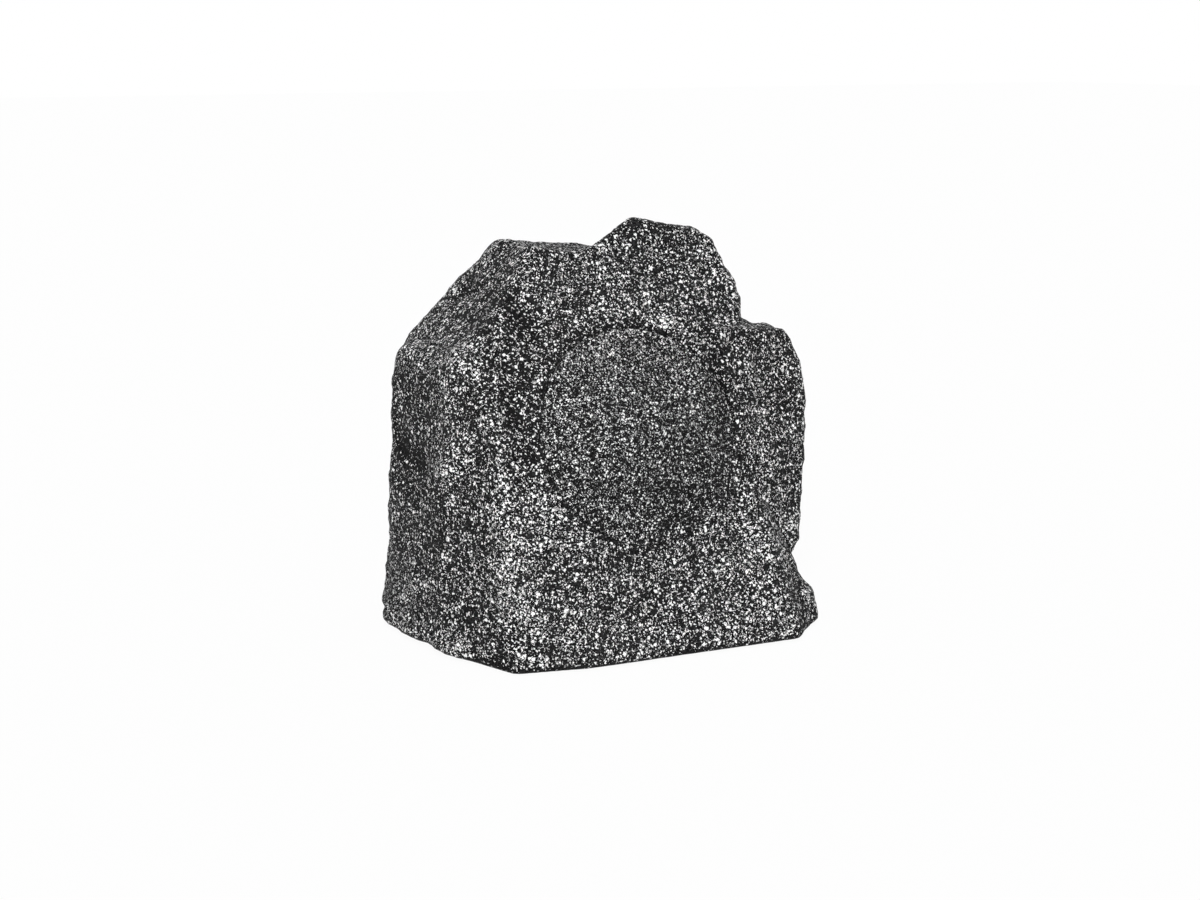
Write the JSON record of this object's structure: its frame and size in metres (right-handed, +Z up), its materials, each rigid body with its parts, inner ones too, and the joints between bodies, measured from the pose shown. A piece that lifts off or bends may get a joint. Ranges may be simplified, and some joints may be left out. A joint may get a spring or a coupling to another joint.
{
  "type": "rock shaped garden speaker",
  "caption": "Weatherproof garden loudspeaker moulded as a chiselled granite rock, with a creased perforated grille over a coaxial woofer and a screwed base plate.",
  "frame": {"origin": "on the ground under the rock, in the plane of the base plate's underside", "axes": "+Z up; the grille faces -Y, tilted upwards; the cable gland leaves the rear along +Y; +X to the right of a viewer facing the grille"},
  "size_m": [0.2857, 0.2281, 0.2799],
  "materials": {
    "stone_paint": "moulded resin, dark grey base coat with thrown white and grey flecks",
    "grille_paint": "perforated steel sheet in the stone's fleck paint",
    "scrim": "black acoustic scrim",
    "base_plastic": "black moulded plastic, fine grain",
    "foam_rubber": "black sealing rubber",
    "screw_steel": "stainless steel",
    "basket_paint": "black powder coat on pressed steel",
    "surround_rubber": "butyl rubber",
    "cone_plastic": "filled polypropylene",
    "former_foil": "rolled aluminium foil",
    "copper_wire": "enamelled copper wire",
    "spider_cloth": "resin treated cotton",
    "plated_steel": "zinc plated low carbon steel",
    "ferrite": "sintered ferrite",
    "phenolic": "paper phenolic board",
    "tag_brass": "tinned brass",
    "tweeter_plastic": "black moulded plastic",
    "tweeter_magnet_plating": "nickel plated magnet",
    "dome_silk": "coated silk",
    "board_laminate": "glass laminate with solder mask",
    "capacitor_film": "film wrapped capacitor",
    "resistor_ceramic": "white ceramic",
    "terminal_plastic": "moulded terminal block",
    "gland_nylon": "black nylon",
    "wire_jacket": "vinyl jacket",
    "wadding_fibre": "polyester wadding"
  },
  "bodies": {
    "rock": {"rock_shell": "stone_paint", "base_plate": "base_plastic", "base_gasket": "foam_rubber", "base_screws": "screw_steel", "grille": "grille_paint", "grille_cloth": "scrim", "woofer_gasket": "foam_rubber", "woofer_basket": "basket_paint", "woofer_surround": "surround_rubber", "spider": "spider_cloth", "top_plate": "plated_steel", "magnet": "ferrite", "yoke": "plated_steel", "terminal_strip": "phenolic", "terminal_tags": "tag_brass", "woofer_screws": "screw_steel", "tweeter_post": "tweeter_plastic", "tweeter_bolt": "screw_steel", "tweeter_nut": "screw_steel", "tweeter_housing": "tweeter_plastic", "tweeter_cup": "plated_steel", "tweeter_magnet": "tweeter_magnet_plating", "tweeter_plate": "plated_steel", "tweeter_dome": "dome_silk", "tweeter_face_ring": "tweeter_plastic", "crossover_board": "board_laminate", "crossover_screws": "screw_steel", "crossover_coil": "copper_wire", "crossover_capacitor": "capacitor_film", "crossover_resistor": "resistor_ceramic", "crossover_terminals": "terminal_plastic", "gland_body": "gland_nylon", "gland_washer": "foam_rubber", "gland_locknut": "gland_nylon", "gland_seal": "foam_rubber", "gland_cap": "gland_nylon", "woofer_leads": "wire_jacket", "acoustic_wadding": "wadding_fibre"},
    "cone": {"woofer_cone": "cone_plastic", "voice_coil_former": "former_foil", "voice_coil_winding": "copper_wire"}
  },
  "joints": [
    {"name": "cone_travel", "type": "slide", "parent": "rock", "child": "cone", "axis": [0, -0.9397, 0.342], "range_m": [-0.004, 0.004], "stiffness_N_per_m": 1200, "deforming": ["woofer_surround", "spider"]}
  ]
}
